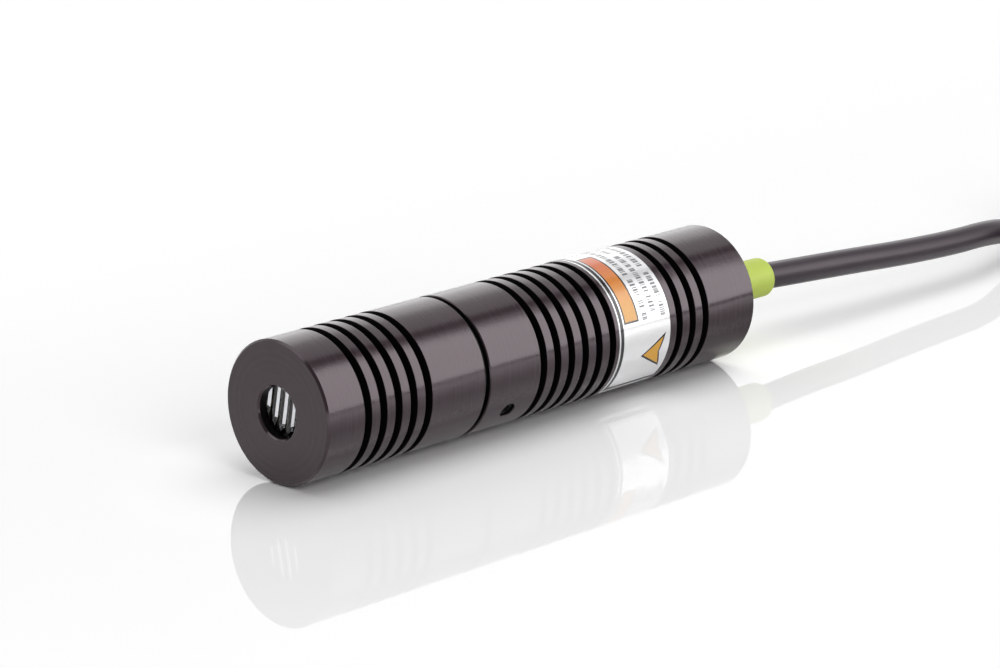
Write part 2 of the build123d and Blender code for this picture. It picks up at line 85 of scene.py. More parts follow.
# %% From arrays to a piece
def piece(name, points, faces, slot, normals=None, uv=None):
    """A mesh object from points in millimetres (N, 3) and faces (M, 4), with normals and uv."""
    mesh = bpy.data.meshes.new(name)
    mesh.from_pydata((np.asarray(points) * MM).tolist(), [], np.asarray(faces).tolist())
    mesh.shade_smooth()
    if normals is not None:
        mesh.normals_split_custom_set_from_vertices(np.asarray(normals).tolist())
    if uv is not None:
        layer = mesh.uv_layers.new(name="print_mm")
        corner = np.zeros(len(mesh.loops), np.int32)
        mesh.loops.foreach_get("vertex_index", corner)
        layer.data.foreach_set("uv", np.asarray(uv)[corner].astype(np.float32).ravel())
    made = bpy.data.objects.new(name, mesh)
    bpy.context.scene.collection.objects.link(made)
    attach(made, "root")
    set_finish(made, slot)
    print(name, len(mesh.vertices), "points", len(mesh.polygons), "faces")
    return made


def grid_faces(rows, columns, closed_rows=False, closed_columns=False):
    """The quads of a grid of points, rows by columns, which may close on itself either way."""
    i = np.arange(rows if closed_rows else rows - 1)[:, None]
    j = np.arange(columns if closed_columns else columns - 1)[None, :]
    below, beside = (i + 1) % rows, (j + 1) % columns
    quads = [i * columns + j, i * columns + beside, below * columns + beside, below * columns + j]
    return np.stack([q + 0 * (i + j) for q in quads], -1).reshape(-1, 4)


def cap_faces(ring):
    """Quads that close a flat ring of an even count of points, in strips from side to side."""
    ring = np.asarray(ring)
    i = np.arange(len(ring) // 2 - 1)
    return np.stack([ring[i], ring[i + 1], ring[len(ring) - 2 - i], ring[len(ring) - 1 - i]], 1)


def between_sheets(front, back):
    """Points and faces of a thin closed body between two grids of points, joined at their rims."""
    rows, columns = front.shape[:2]
    count = rows * columns
    index = np.arange(count).reshape(rows, columns)
    rim = np.concatenate([index[0], index[1:, -1], index[-1, -2::-1], index[-2:0:-1, 0]])
    beside = np.roll(rim, -1)
    rim_faces = np.stack([rim + count, beside + count, beside, rim], 1)
    sheet = grid_faces(rows, columns)
    points = np.concatenate([front.reshape(-1, 3), back.reshape(-1, 3)])
    return points, np.concatenate([sheet, sheet[:, ::-1] + count, rim_faces])


# %% [markdown]
# The barrel is turned on a lathe, so its surface is a profile carried round the axis. A lathe tool
# never leaves a perfectly sharp edge, and light catches the small round that it does leave. A Bevel
# modifier could add it, but here the profile's corners are rounded before it is carried round, so
# the direction of the surface is known everywhere.

# %% Rounded profiles and turned surfaces
def rounded(corners, radii, steps=4):
    """Rounds the corners of a closed profile of (radius, y) points.

    Each corner becomes an arc that leaves both its runs by radius * tan(turn / 2). Returns points
    and outward normals; the outside is on the right of the way that the profile runs.
    """
    c = np.asarray(corners, float)
    r = np.broadcast_to(np.asarray(radii, float), len(c))
    ahead = np.roll(c, -1, 0) - c
    ahead /= np.linalg.norm(ahead, axis=1)[:, None]
    behind = np.roll(ahead, 1, 0)
    turn = np.arctan2(
        behind[:, 0] * ahead[:, 1] - behind[:, 1] * ahead[:, 0], (behind * ahead).sum(1)
    )
    sweep = turn[:, None] * np.linspace(0, 1, steps + 1)
    first = np.stack([behind[:, 1], -behind[:, 0]], 1)
    cos, sin = np.cos(sweep), np.sin(sweep)
    normals = np.stack(
        [cos * first[:, :1] - sin * first[:, 1:], sin * first[:, :1] + cos * first[:, 1:]], -1
    )
    back = r * np.tan(np.abs(turn) / 2)
    side = np.sign(turn) * r
    centre = c - behind * back[:, None] - side[:, None] * first
    points = centre[:, None] + side[:, None, None] * normals
    return points.reshape(-1, 2), normals.reshape(-1, 2)


def carried_round(profile, normals, segments, start=0.0):
    """Carries a profile round the Y axis: x = radius * cos t, z = radius * sin t, y as it is."""
    t = start + np.linspace(0, 2 * math.pi, segments, endpoint=False)
    spin = np.stack([np.cos(t), np.sin(t)])
    points, outward = (
        np.stack([p[:, :1] * spin[0], p[:, 1:] + 0 * t, p[:, :1] * spin[1]], -1).reshape(-1, 3)
        for p in (profile, normals)
    )
    return points, outward


def turned_faces(points, segments):
    """The outward faces of a closed profile that was carried round in this many segments."""
    return grid_faces(len(points) // segments, segments, True, True)[:, ::-1]


# %% [markdown]
# ## Barrel
# The head carries five ring grooves and the body six and three. They let the maker drop the
# module's heat, and they are the first thing one sees. The sizes, in millimetres, repeat those of
# the solids, and y is counted from the front face.

# %% Sizes of the barrel
BARREL_R = 10.0
BARREL_SEGMENTS = 192
EDGE = 0.06
RIM_CHAMFER = 0.3
JOINT_CHAMFER = 0.15
GROOVE_W = 1.3
GROOVE_FLOOR_R = 8.65
GROOVE_PITCH = 2.8
# where each group of grooves starts, and how many it has
HEAD_GROOVES = (6.6, 5)
MIDDLE_GROOVES = (40.0, 6)
REAR_GROOVES = (68.0, 3)
WALL = 1.4
APERTURE_R = 3.6
APERTURE_CHAMFER = 0.25
POCKET_R = 6.0
POCKET_END = 11.4
TUNNEL_R = 4.6
TUNNEL_END = 29.5
CELL_BORE_R = 5.5
HEAD_LEN = 29.3
SPIGOT_R = 7.48
SPIGOT_END = 39.8
BODY_FRONT = 30.15
BODY_BORE_R = 7.5
WEB_BORE_R = 4.5
SOCKET_END = 40.65
HOLDER_SEAT = 43.15
BARREL_END = 85.0


def groove_corners(start, count):
    """The corners of a row of ring grooves, four for each, from the front one to the rear one."""
    y = start + GROOVE_PITCH * np.arange(count)[:, None]
    r = np.array([BARREL_R, GROOVE_FLOOR_R, GROOVE_FLOOR_R, BARREL_R]) + 0 * y
    along = np.array([0, 0, GROOVE_W, GROOVE_W]) + y
    return np.stack([r, along], -1).reshape(-1, 2)


# %% [markdown]
# The head's profile starts in the aperture, comes forward round the front face, runs back over the
# grooves to the spigot, and returns through the stepped bore of the optics.

# %% Head
head_corners = np.concatenate([
    [(APERTURE_R, WALL), (APERTURE_R, APERTURE_CHAMFER), (APERTURE_R + APERTURE_CHAMFER, 0.0)],
    [(BARREL_R - RIM_CHAMFER, 0.0), (BARREL_R, RIM_CHAMFER)],
    groove_corners(*HEAD_GROOVES),
    [(BARREL_R, HEAD_LEN - JOINT_CHAMFER), (BARREL_R - JOINT_CHAMFER, HEAD_LEN)],
    [(SPIGOT_R, HEAD_LEN), (SPIGOT_R, SPIGOT_END), (CELL_BORE_R, SPIGOT_END)],
    [(CELL_BORE_R, TUNNEL_END), (TUNNEL_R, TUNNEL_END), (TUNNEL_R, POCKET_END)],
    [(POCKET_R, POCKET_END), (POCKET_R, WALL)],
])
head_points, head_normals = carried_round(*rounded(head_corners, EDGE), BARREL_SEGMENTS)
head_faces = turned_faces(head_points, BARREL_SEGMENTS)
head = piece("barrel_head", head_points, head_faces, "black_anodised", head_normals)
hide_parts("front_barrel")

# %% [markdown]
# The body has a small threaded hole in its side for the grub screw. A Boolean could cut it, but it
# would spoil the clean normals of the turned surface. Instead the grid makes room for it. First the
# profile gets more points beside the hole, so that the cells of the grid are square there.

# %% Profile of the body, with a patch of square cells at the hole
HOLE_AT = math.radians(-34.0)
HOLE_Y = 35.15
PATCH = 9
CELL = 2 * math.pi * BARREL_R / BARREL_SEGMENTS

body_corners = np.concatenate([
    [(BODY_BORE_R, BODY_FRONT)],
    [(BARREL_R - JOINT_CHAMFER, BODY_FRONT), (BARREL_R, BODY_FRONT + JOINT_CHAMFER)],
    groove_corners(*MIDDLE_GROOVES),
    groove_corners(*REAR_GROOVES),
    [(BARREL_R, BARREL_END - RIM_CHAMFER), (BARREL_R - RIM_CHAMFER, BARREL_END)],
    [(BODY_BORE_R, BARREL_END), (BODY_BORE_R, HOLDER_SEAT), (WEB_BORE_R, HOLDER_SEAT)],
    [(WEB_BORE_R, SOCKET_END), (BODY_BORE_R, SOCKET_END)],
])
profile, outline_normals = rounded(body_corners, EDGE)
before_patch = int(np.argmax(profile[:, 1] > HOLE_Y))
patch_y = HOLE_Y + CELL * np.arange(-PATCH, PATCH + 1)
profile = np.insert(profile, before_patch, np.stack([0 * patch_y + BARREL_R, patch_y], 1), 0)
outline_normals = np.insert(outline_normals, before_patch, [(1.0, 0.0)] * len(patch_y), 0)
print(len(profile), "points in the profile,", len(patch_y), "of them in the patch")

# %% [markdown]
# Rows and columns are counted from the hole's middle, so each point lies on a square round it. The
# square at the hole becomes a circle, and the ones further off go over from circle to square, up to
# the edge of the patch. The faces inside the circle are left out.

# %% Points round the hole pushed aside
HOLE_R = 1.25
HOLE_EDGE = 0.1
PATCH_HOLE = 4
body_points, body_normals = carried_round(profile, outline_normals, BARREL_SEGMENTS, HOLE_AT)
rows, columns = np.indices((len(profile), BARREL_SEGMENTS)).reshape(2, -1)
rows = rows - before_patch - PATCH
columns = (columns + PATCH) % BARREL_SEGMENTS - PATCH
square = np.maximum(np.abs(rows), np.abs(columns))
inside = square <= PATCH
away = np.clip((square - PATCH_HOLE) / (PATCH - PATCH_HOLE), 0, 1)
length = np.maximum(np.hypot(rows, columns), 1e-9)
spread = (HOLE_R + HOLE_EDGE) * (1 - away) / length + CELL * away
along, across = rows * spread, columns * spread
angle = HOLE_AT + across / BARREL_R
body_points[inside] = np.stack(
    [BARREL_R * np.cos(angle), HOLE_Y + along, BARREL_R * np.sin(angle)], 1
)[inside]
body_normals[inside] = np.stack([np.cos(angle), 0 * angle, np.sin(angle)], 1)[inside]
body_faces = turned_faces(body_points, BARREL_SEGMENTS)
body_faces = body_faces[(square[body_faces] > PATCH_HOLE).any(1)]

print("hole's circle:", (square == PATCH_HOLE).sum(), "points")

# %% [markdown]
# From the circle a wall leads down to a flat bottom, which is out of sight below the screw. Its
# rings lie at levels that are distances from the barrel's axis. The first is a little below the
# surface and narrower than the circle, which gives the small bevel that a drilled hole has.

# %% Wall of the hole, and the whole body
HOLE_LEVELS = (9.9, 9.75, 7.6)
edge_ring = np.flatnonzero(square == PATCH_HOLE)
edge_ring = edge_ring[np.argsort(np.arctan2(across[edge_ring], along[edge_ring]))]
round_hole = np.arctan2(across[edge_ring], along[edge_ring])[:, None]
toward = np.array([math.cos(HOLE_AT), 0.0, math.sin(HOLE_AT)])
beside = np.array([-math.sin(HOLE_AT), 0.0, math.cos(HOLE_AT)])
sideways = np.sin(round_hole) * beside + np.cos(round_hole) * np.array([0.0, 1.0, 0.0])
hole_middle = np.array([0.0, HOLE_Y, 0.0])
levels = [hole_middle + toward * level + sideways * HOLE_R for level in HOLE_LEVELS]
level_normals = [(toward - sideways) / math.sqrt(2), -sideways, -sideways]
around_hole = len(edge_ring)
wall_rings = len(body_points) + np.arange(len(HOLE_LEVELS) * around_hole)
hole_rows = np.concatenate([edge_ring, wall_rings])
wall_faces = hole_rows[grid_faces(1 + len(HOLE_LEVELS), around_hole, False, True)]
bottom_faces = cap_faces(hole_rows[-around_hole:])
body = piece(
    "barrel_body",
    np.concatenate([body_points, *levels]),
    np.concatenate([body_faces, wall_faces, bottom_faces]),
    "black_anodised",
    np.concatenate([body_normals, *level_normals]),
)
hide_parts("main_barrel")

# %% [markdown]
# ## Line lens
# Behind the aperture sits a round clear plate with a row of cylinder flutes, which spreads the beam
# into a line. Each flute is part of a cylinder, so its height is a circle's arc across the flute.
# The grid runs along the flutes, and its rows shorten towards the plate's edge, so it needs no cut.

# %% Fluted lens
LENS_R = 5.98
LENS_FRONT = WALL
LENS_BACK = WALL + 3.0
LENS_REACH = 0.9995 * LENS_R
LENS_CREASE = math.radians(28)
FLUTE_PITCH = 1.58
FLUTE_DEPTH = 0.4
FLUTE_LEAN = math.radians(10.0)


def lens_sheet(height_of, columns=193, rows=73):
    """One face of the lens: x across the flutes, z along them, and y from height_of(x)."""
    x = np.linspace(-LENS_REACH, LENS_REACH, columns)[None, :]
    z = np.linspace(-1, 1, rows)[:, None] * np.sqrt(LENS_R**2 - x**2)
    x = x + 0 * z
    lean_x = x * math.cos(FLUTE_LEAN) + z * math.sin(FLUTE_LEAN)
    lean_z = -x * math.sin(FLUTE_LEAN) + z * math.cos(FLUTE_LEAN)
    return np.stack([lean_x, height_of(x), lean_z], -1)


def flute_height(x):
    """A row of arcs: crest at the middle of each flute, FLUTE_DEPTH further back at its sides."""
    half = FLUTE_PITCH / 2
    radius = (half**2 + FLUTE_DEPTH**2) / (2 * FLUTE_DEPTH)
    beside = (x % FLUTE_PITCH) - half
    return LENS_FRONT + radius - np.sqrt(radius**2 - beside**2)


front_sheet = lens_sheet(flute_height)
back_sheet = lens_sheet(lambda x: LENS_BACK + 0 * x)
line_lens = piece("fluted_lens", *between_sheets(front_sheet, back_sheet), "clear_optic")
line_lens.data.set_sharp_from_angle(angle=LENS_CREASE)
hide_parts("line_lens")

# %% [markdown]
# One flank of each flute shows a bright stripe of light, which ends in the shade of the aperture's
# edge. A lamp could give these, but it would show on the barrel too. So the stripes are painted
# highlights: the faces in a strip beside each valley, down to where the aperture's edge would shade
# them, are marked here, and get a bright, faintly glowing finish of their own.

# %% Flanks with painted highlights
FLANK = (-0.3, 0.08)
SHADE_Z = -1.95
SHADE_X = -0.9
SHADE_SLOPE = 0.8
middle = front_sheet[:-1, :-1] / 2 + front_sheet[1:, 1:] / 2
flute_x = middle[..., 0] * math.cos(FLUTE_LEAN) - middle[..., 2] * math.sin(FLUTE_LEAN)
off_valley = (flute_x + FLUTE_PITCH / 2) % FLUTE_PITCH - FLUTE_PITCH / 2
low_end = SHADE_Z + SHADE_SLOPE * np.maximum(0, SHADE_X - flute_x)
# painted highlight mask: faces beside each valley, above the painted edge of the aperture's shade
highlight_mask = (off_valley > FLANK[0]) & (off_valley < FLANK[1]) & (middle[..., 2] > low_end)
highlight_faces = np.zeros(len(line_lens.data.polygons), np.int32)
highlight_faces[: highlight_mask.size] = highlight_mask.ravel()
print(highlight_faces.sum(), "faces gather light")

# %% [markdown]
# ## Foil label
# A strip of printed silver foil is wrapped part of the way round the land between the two rear
# groups of grooves. It could be a colour on the barrel, but a thin piece of its own has an edge that
# catches light. It is a patch of a cylinder, and it carries its own map in millimetres, along the
# wrap and across it, so the print can be laid out as on a flat sheet.

# %% Label
LABEL_Y = 56.0
LABEL_W = 10.6
LABEL_R = 10.06
LABEL_FOOT_R = 10.002
LABEL_EDGE = 0.045
LABEL_FROM = -54.0
LABEL_TO = 180.0
LABEL_COLUMNS = 235
LABEL_ROWS = 23
LABEL_CREASE = math.radians(30)
label_t = np.radians(np.linspace(LABEL_FROM, LABEL_TO, LABEL_COLUMNS))
label_y = LABEL_Y + np.linspace(0, LABEL_W, LABEL_ROWS)


def label_layer(radius, inset):
    """The label's points at one radius, its outline drawn in by inset, and their flat map."""
    t = np.clip(label_t, label_t[0] + inset / BARREL_R, label_t[-1] - inset / BARREL_R)
    y = np.clip(label_y, LABEL_Y + inset, LABEL_Y + LABEL_W - inset)
    t, y = t[None, :] + 0 * y[:, None], y[:, None] + 0 * t[None, :]
    flat = np.stack([t * BARREL_R, y - LABEL_Y], -1)
    return np.stack([radius * np.cos(t), y, radius * np.sin(t)], -1), flat.reshape(-1, 2)


top_layer, top_map = label_layer(LABEL_R, LABEL_EDGE)
foot_layer, foot_map = label_layer(LABEL_FOOT_R, 0.0)
label_points, label_faces = between_sheets(top_layer, foot_layer)
label = piece(
    "foil_label", label_points, label_faces[:, ::-1], "foil_label",
    uv=np.concatenate([top_map, foot_map]),
)
label.data.set_sharp_from_angle(angle=LABEL_CREASE)
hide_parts("label")

# %% [markdown]
# ## Green sleeve
# The soft sleeve takes the strain of the lead where it leaves the barrel. It was moulded, so its
# outer end is well rounded, its hole has a small round lip, and a small nib is left on its top. It
# is carried round like the barrel, and then its points swell at the nib and sag with the lead.

# %% Sleeve
SLEEVE_R = 2.95
SLEEVE_BORE_R = 2.03
SLEEVE_END = 98.2
SLEEVE_SEGMENTS = 96
FLANGE_R = 4.2
FLANGE_FROM = 77.8
FLANGE_TO = 79.0
SLEEVE_ROUNDS = [0.05, 0.1, 0.1, 0.1, 0.72, 0.15]
SAG = 0.3
NIB_TURN = 1.45
NIB_Y = 97.0
NIB_HEIGHT = 0.22
NIB_SPREAD = 0.11
NIB_MM_A_RADIAN = 3.0

sleeve_corners = [
    (SLEEVE_BORE_R, FLANGE_FROM), (FLANGE_R, FLANGE_FROM), (FLANGE_R, FLANGE_TO),
    (SLEEVE_R, FLANGE_TO), (SLEEVE_R, SLEEVE_END), (SLEEVE_BORE_R, SLEEVE_END),
]
sleeve_points, sleeve_normals = carried_round(
    *rounded(sleeve_corners, SLEEVE_ROUNDS, 8), SLEEVE_SEGMENTS
)
sleeve_turn = np.arctan2(sleeve_points[:, 2], sleeve_points[:, 0])
from_nib = np.hypot(sleeve_turn - NIB_TURN, (sleeve_points[:, 1] - NIB_Y) / NIB_MM_A_RADIAN)
swell = NIB_HEIGHT * np.exp(-((from_nib / NIB_SPREAD) ** 2))
sleeve_points += swell[:, None] * sleeve_normals * [1.0, 0.0, 1.0]
past_barrel = np.clip((sleeve_points[:, 1] - BARREL_END) / (SLEEVE_END - BARREL_END), 0, 1)
sleeve_points[:, 2] -= SAG * past_barrel**2
sleeve_faces = turned_faces(sleeve_points, SLEEVE_SEGMENTS)
sleeve = piece("green_sleeve", sleeve_points, sleeve_faces, "green_sleeve", sleeve_normals)
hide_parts("strain_relief_sleeve")

# %% [markdown]
# ## Lead
# The lead is one length of round cable. It leaves the sleeve, sinks to the table in a long easy
# bend, and the rest of it is folded into a hank in line with the barrel, tied at its waist. The
# free stretch follows listed points. The turns of the hank are worked out: each turn is two
# half circles joined by two runs that pull in towards the tie, and the strand steps from one place
# in the bundle to the next while it goes round the near loop.

# %% The turns of the hank
STRAND = 4.1
LOW_STRAND = -7.95
TOP_STRAND = -0.3
LANE_R = 14.05
HANK = np.array([8.15, 209.9])
HALF_RUN = 24.9
RUN_SHARE = 0.275
TIE_REACH = 5.0
# where each whole turn lies in the bundle, and the part of the turn in which it steps to the next
strand_out = np.array([0.5, -0.5, -0.5, 0.5, 0.0, 0.0]) * STRAND
strand_z = np.repeat([LOW_STRAND, LOW_STRAND + STRAND, TOP_STRAND], 2)
step_from = np.array([0.77, 0.72, 0.68, 0.66, 2.0])
step_to = np.array([0.96, 0.88, 0.82, 0.76, 3.0])


def hank_turns(turns):
    """Points of the strand at these numbers of turns, worked out for the whole array at once.

    In a run, the distance from the middle line falls and rises as a cosine between loop and waist.
    In a loop, the point goes round half a circle. The second half of a turn mirrors the first. At
    the waist the lower strands rise a little, over the tie that passes below them.
    """
    whole = np.floor(turns).astype(int)
    share = turns - whole
    step = np.clip((share - step_from[whole]) / (step_to[whole] - step_from[whole]), 0, 1)
    step = (1 - np.cos(math.pi * step)) / 2
    out, z = (at[whole] + (at[whole + 1] - at[whole]) * step for at in (strand_out, strand_z))
    half = share % 0.5
    mirror = np.where(share < 0.5, 1.0, -1.0)
    u = np.clip(half / RUN_SHARE, 0, 1)
    v = np.clip((half - RUN_SHARE) / (0.5 - RUN_SHARE), 0, 1)
    wide, narrow = LANE_R + out, STRAND + out
    run_x = -(narrow + (wide - narrow) * (1 + np.cos(2 * math.pi * u)) / 2)
    run_y = -HALF_RUN + 2 * HALF_RUN * u
    bow = math.pi * (1 - v)
    x = np.where(half < RUN_SHARE, run_x, wide * np.cos(bow))
    y = np.where(half < RUN_SHARE, run_y, HALF_RUN + wide * np.sin(bow))
    lift = np.exp(-(((u - 0.5) * 2 * HALF_RUN / TIE_REACH) ** 2)) * z / LOW_STRAND
    return np.stack([HANK[0] + mirror * x, HANK[1] + mirror * y, z + lift], 1)


# %% [markdown]
# A mesh tube would need rings and normals of its own. A NURBS curve with a round bevel needs only
# the points along its middle, and is smooth between them. It is made with each point's radius in
# metres and a bevel depth of 1, so that its box is right too.

# %% The lead as one curve
FREE_ROUTE = np.array([
    (0.0, 98.2, -0.3), (0.0, 107.5, -1.0), (0.7, 118.5, -1.6), (1.0, 130.5, -2.5),
    (1.2, 143.0, -3.15), (0.9, 152.5, -3.3), (-0.9, 161.0, -4.9), (-3.2, 168.2, -6.5),
    (-5.6, 175.0, -7.5), (-7.3, 180.5, -7.9),
])
END_TURN = 4.362
POINTS_A_TURN = 36
JACKET_R = 2.0
CURVE_STEPS = 6
hank_line = hank_turns(np.arange(0.0, END_TURN, 1 / POINTS_A_TURN))
lead_points = np.concatenate([FREE_ROUTE, hank_line]) * MM
curve = bpy.data.curves.new("lead", "CURVE")
curve.dimensions = "3D"
spline = curve.splines.new("NURBS")
spline.points.add(len(lead_points) - 1)
spline.points.foreach_set("co", np.c_[lead_points, np.ones(len(lead_points))].ravel())
spline.order_u = 3
spline.use_endpoint_u = True
spline.points.foreach_set("radius", np.full(len(lead_points), JACKET_R * MM))
curve.bevel_depth = 1.0
curve.bevel_resolution = CURVE_STEPS
curve.resolution_u = CURVE_STEPS
curve.use_fill_caps = True
lead = bpy.data.objects.new("lead", curve)
bpy.context.scene.collection.objects.link(lead)
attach(lead, "root")
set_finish(lead, "cable_jacket")
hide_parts("cable", "cable_hank")
lead_length = np.linalg.norm(np.diff(lead_points, axis=0), axis=1).sum()
print("lead:", len(lead_points), "points,", round(float(lead_length), 4), "m along them")

# %% [markdown]
# At its far end the jacket is stripped, and two thin cores end in crimped ferrules. The cores could
# be curves too. Here they are tubes carried along an arc, which gives exact normals, and the
# ferrules are small turned pieces set in line with the arc's end.

# %% Cores and ferrules
FAR_END = np.array([HANK[0], HANK[1] + HALF_RUN, -0.59])
CORE_R = 0.65
CORE_ASIDE = 1.3
CORE_FROM = math.radians(110.0)
CORE_TO = math.radians(-12.0)
CORE_STEPS = 49
CORE_SEGMENTS = 20
FERRULE_SEGMENTS = 24
FERRULE_ROUND = 0.03
# the ferrule's tip is a thin tube, its collar flares, and y counts back from the arc's end
FERRULE_CORNERS = [
    (0.55, -9.0), (0.55, -3.0), (0.9, -3.0), (1.2, -1.9), (1.2, 0.0), (0.001, 0.0),
    (0.001, -8.6), (0.3, -8.6), (0.3, -9.0),
]


def arc_tube(name, arc_radius, slot):
    """A tube round the far loop: the centre runs along an arc, and a circle stands across it."""
    a = np.linspace(CORE_FROM, CORE_TO, CORE_STEPS)[:, None]
    b = np.linspace(0, 2 * math.pi, CORE_SEGMENTS, endpoint=False)[None, :]
    out = np.stack([np.cos(a) + 0 * b, np.sin(a) + 0 * b, 0 * a * b], -1)
    across = np.cos(b)[..., None] * out + np.sin(b)[..., None] * np.array([0.0, 0.0, 1.0])
    middle = FAR_END + arc_radius * out
    ring = np.arange(CORE_SEGMENTS)
    faces = np.concatenate([
        grid_faces(CORE_STEPS, CORE_SEGMENTS, False, True),
        cap_faces(ring)[:, ::-1],
        cap_faces(ring + (CORE_STEPS - 1) * CORE_SEGMENTS),
    ])
    points = (middle + CORE_R * across).reshape(-1, 3)
    return piece(name, points, faces, slot, across.reshape(-1, 3))


def ferrule(arc_radius):
    """Points and normals of one ferrule, set at the end of the arc and turned in line with it."""
    profile, normals = rounded(FERRULE_CORNERS, FERRULE_ROUND, 3)
    points, outward = carried_round(profile, normals, FERRULE_SEGMENTS)
    cos, sin = math.cos(CORE_TO), math.sin(CORE_TO)
    turn = np.array([[cos, -sin, 0], [sin, cos, 0], [0, 0, 1]])
    return (points + [arc_radius, 0.0, 0.0]) @ turn.T + FAR_END, outward @ turn.T


lanes = (LANE_R + CORE_ASIDE, LANE_R - CORE_ASIDE)
core_positive = arc_tube("core_red", lanes[0], "wire_red")
core_negative = arc_tube("core_black", lanes[1], "wire_black")
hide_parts("core_positive")
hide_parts("core_negative")
ferrule_points, ferrule_normals = zip(*[ferrule(lane) for lane in lanes])
ferrule_faces = turned_faces(ferrule_points[0], FERRULE_SEGMENTS)
ferrules = piece(
    "ferrules",
    np.concatenate(ferrule_points),
    np.concatenate([ferrule_faces, ferrule_faces + len(ferrule_points[0])]),
    "ferrule_metal",
    np.concatenate(ferrule_normals),
)
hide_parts("core_ferrules")

# %% [markdown]
# ## Finishes
# An anodised lathe part, a moulded sleeve and a printed foil differ less in colour than in how
# their surface breaks up the light. The effects that several finishes share are node groups with
# their own inputs, built once: the fine rings that a lathe tool leaves, and a soft cloudiness.

# %% Node helpers
def join(tree, value, socket):
    """Links a value that is another node's output, or sets it straight on the socket."""
    if isinstance(value, bpy.types.NodeSocket):
        tree.links.new(value, socket)
    else:
        socket.default_value = value


def add(tree, kind, inputs=(), **settings):
    """Adds a shader node, sets its settings, and links or sets its inputs."""
    made = tree.nodes.new("ShaderNode" + kind)
    for key, value in settings.items():
        setattr(made, key, value)
    for key, value in dict(inputs).items():
        join(tree, value, made.inputs[key])
    return made


def reckon(tree, operation, first, second=0.0, third=0.0, clamp=False):
    """The output of one Math node."""
    inputs = {0: first, 1: second, 2: third}
    return add(tree, "Math", inputs, operation=operation, use_clamp=clamp).outputs[0]


def product(tree, first, *others):
    """All the values multiplied with each other."""
    for other in others:
        first = reckon(tree, "MULTIPLY", first, other)
    return first


def distance(tree, first, second):
    """The square root of the sum of both squares."""
    squares = product(tree, first, first), product(tree, second, second)
    return reckon(tree, "SQRT", reckon(tree, "ADD", *squares))


def beyond(tree, value, middle, half):
    """How far the value lies outside the stretch that reaches half to each side of middle."""
    off = reckon(tree, "ABSOLUTE", reckon(tree, "SUBTRACT", value, middle))
    return reckon(tree, "MAXIMUM", reckon(tree, "SUBTRACT", off, half), 0.0)


def fade(tree, value, start, end, low, high, **settings):
    """Goes from low to high while the value goes from start to end, and is level outside them."""
    inputs = {0: value, 1: start, 2: end, 3: low, 4: high}
    return add(tree, "MapRange", inputs, **settings).outputs[0]


def mix(tree, share, first, second):
    """The first value where the share is 0 and the second where it is 1."""
    return add(tree, "Mix", {0: share, 2: first, 3: second}).outputs[0]


def mix_colour(tree, share, first, second):
    """The first colour where the share is 0 and the second where it is 1."""
    return add(tree, "Mix", {0: share, 6: first, 7: second}, data_type="RGBA").outputs[2]


def noise_along(tree, value, scale, detail=0.0):
    """Noise that varies along one value."""
    inputs = {"W": value, "Scale": scale, "Detail": detail}
    return add(tree, "TexNoise", inputs, noise_dimensions="1D").outputs[0]


def group(name, inputs, outputs):
    """A new node group with float inputs (name: default) and outputs, and its two end nodes."""
    tree = bpy.data.node_groups.new(name, "ShaderNodeTree")
    for title, value in inputs.items():
        socket = tree.interface.new_socket(title, in_out="INPUT", socket_type="NodeSocketFloat")
        socket.default_value = value
    for title in outputs:
        tree.interface.new_socket(title, in_out="OUTPUT", socket_type="NodeSocketFloat")
    return tree, tree.nodes.new("NodeGroupInput").outputs, tree.nodes.new("NodeGroupOutput")


def use(tree, shared, **inputs):
    """Places a node group in a material, with its own values."""
    made = tree.nodes.new("ShaderNodeGroup")
    made.node_tree = shared
    for key, value in inputs.items():
        join(tree, value, made.inputs[key])
    return made.outputs


def bare_tree(holder):
    """The node tree of a material or world, emptied."""
    holder.use_nodes = True
    holder.node_tree.nodes.clear()
    return holder.node_tree


# %% [markdown]
# A lathe tool moves along the barrel, and across its faces, by the same small step in each turn. So
# the rings follow y plus the distance from the axis, divided by that step. Fine noise along this
# value gives the rings, and coarse noise gives wider bands among them.

# %% The rings that a lathe tool leaves
A_METRE = 1 / MM
LATHE_PITCH = 0.12
BAND_SCALE = 0.22
lathe, given, out = group("lathe_marks", {"Pitch": LATHE_PITCH}, ["Rings", "Bands"])
place = add(lathe, "TexCoord").outputs["Object"]
xyz = add(lathe, "SeparateXYZ", {0: place}).outputs
from_axis = distance(lathe, xyz[0], xyz[2])
tool_way = product(lathe, reckon(lathe, "ADD", xyz[1], from_axis), A_METRE)
feed = reckon(lathe, "DIVIDE", tool_way, given["Pitch"])
join(lathe, noise_along(lathe, feed, 1.0, 2.0), out.inputs["Rings"])
join(lathe, noise_along(lathe, feed, BAND_SCALE, 3.0), out.inputs["Bands"])

# %% [markdown]
# The second group is noise in all three directions, at two sizes: clouds of about the given size in
# millimetres, and a grain that is much finer. Both follow the object's own coordinates, so that
# they stay in place from every side.

# %% Soft clouds and fine grain
GRAIN_FINER = 14.0
clouds, given, out = group("clouds_and_grain", {"Size": 4.0}, ["Clouds", "Grain"])
place = add(clouds, "TexCoord").outputs["Object"]
to_mm = {0: place, 1: (A_METRE, A_METRE, A_METRE)}
in_mm = add(clouds, "VectorMath", to_mm, operation="MULTIPLY").outputs[0]
scale = reckon(clouds, "DIVIDE", 1.0, given["Size"])
grain_scale = product(clouds, scale, GRAIN_FINER)
soft = add(clouds, "TexNoise", {"Vector": in_mm, "Scale": scale, "Detail": 3.0})
fine = add(clouds, "TexNoise", {"Vector": in_mm, "Scale": grain_scale, "Detail": 2.0})
join(clouds, soft.outputs[0], out.inputs["Clouds"])
join(clouds, fine.outputs[0], out.inputs["Grain"])

# %% [markdown]
# One helper gives a finish its base colour, which drifts a little with the clouds, its roughness,
# which drifts with the grain, and its bump. On turned pieces the lathe's bands drift all three.
# Values that are the same all over go straight on the shader's sockets.

